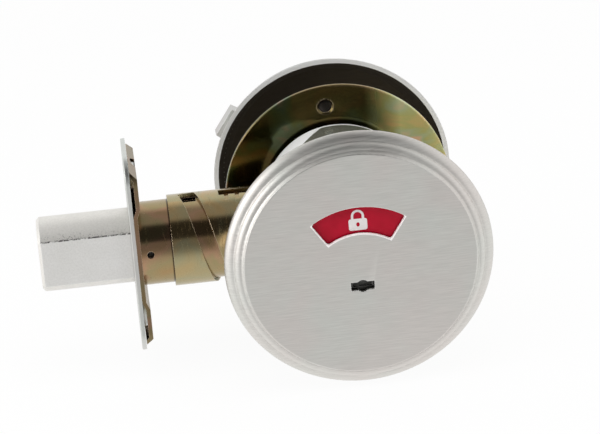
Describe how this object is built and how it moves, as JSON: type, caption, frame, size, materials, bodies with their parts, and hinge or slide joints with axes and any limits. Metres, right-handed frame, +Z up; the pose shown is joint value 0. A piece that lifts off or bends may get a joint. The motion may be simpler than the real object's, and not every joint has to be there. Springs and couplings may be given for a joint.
{
  "type": "indicator deadbolt",
  "caption": "Tubular deadbolt with a round front disc that shows whether the room is in use, a twist-adjusted backset barrel and a lever thumbturn.",
  "frame": {"origin": "centre of the faceplate's front face, on the bolt's axis", "axes": "+X into the door along the bolt, +Y towards the thumbturn's side, +Z up; the bolt points along -X"},
  "size_m": [0.1222, 0.0867, 0.073],
  "materials": {
    "brushed_disc": "fine brushing along X under a satin plating",
    "satin_cover": "satin plating",
    "gold_zinc": "yellow zinc passivate with coloured patches",
    "gold_zinc_barrel": "yellow zinc passivate",
    "satin_plate": "satin plating",
    "bolt_steel": "satin plating, grainy on the top",
    "cast_housing": "plated die casting",
    "inner_steel": "plain zinc plated steel",
    "plug_steel": "dark plated steel",
    "red_label": "printed",
    "green_label": "printed"
  },
  "bodies": {
    "case": {"rear_case": "gold_zinc_barrel", "outside_housing": "cast_housing", "indicator_rose": "brushed_disc", "support_plate": "gold_zinc", "thumbturn_rose": "satin_cover", "mounting_screws": "inner_steel"},
    "guide": {"tail_guide": "inner_steel"},
    "front": {"faceplate": "satin_plate", "backing_plate": "gold_zinc_barrel", "front_tube": "gold_zinc_barrel"},
    "bolt": {"bolt_head": "bolt_steel", "saw_guard_pins": "inner_steel"},
    "draw": {"draw_bar": "inner_steel", "draw_pin": "inner_steel"},
    "turn": {"cam_hub": "inner_steel", "crank_pin": "inner_steel", "tailpiece": "inner_steel", "indicator_disc": "inner_steel", "occupied_label": "red_label", "vacant_label": "green_label", "emergency_turn": "plug_steel", "emergency_clip": "inner_steel", "thumbturn": "satin_cover", "thumbturn_washer": "inner_steel", "thumbturn_clip": "inner_steel"}
  },
  "joints": [
    {"name": "thumbturn_turn", "type": "hinge", "parent": "case", "child": "turn", "pos_m": [0.0603, 0, -0.00635], "axis": [0, 1, 0], "range_deg": [0, 90]},
    {"name": "draw_slide", "type": "slide", "parent": "case", "child": "draw", "axis": [1, 0, 0], "range_m": [0, 0.0254]},
    {"name": "bolt_slide", "type": "slide", "parent": "front", "child": "bolt", "axis": [1, 0, 0], "range_m": [0, 0.0254]},
    {"name": "backset_slide", "type": "slide", "parent": "case", "child": "guide", "axis": [-1, 0, 0], "range_m": [0, 0.00953]},
    {"name": "backset_turn", "type": "hinge", "parent": "guide", "child": "front", "pos_m": [0, 0, 0], "axis": [-1, 0, 0], "range_deg": [0, 180]}
  ],
  "couplings": [
    {"joint": "draw_slide", "follows": "thumbturn_turn", "m_per_rad": 0.01617},
    {"joint": "bolt_slide", "follows": "thumbturn_turn", "m_per_rad": 0.01617},
    {"joint": "backset_turn", "follows": "backset_slide", "rad_per_m": 329.83}
  ]
}
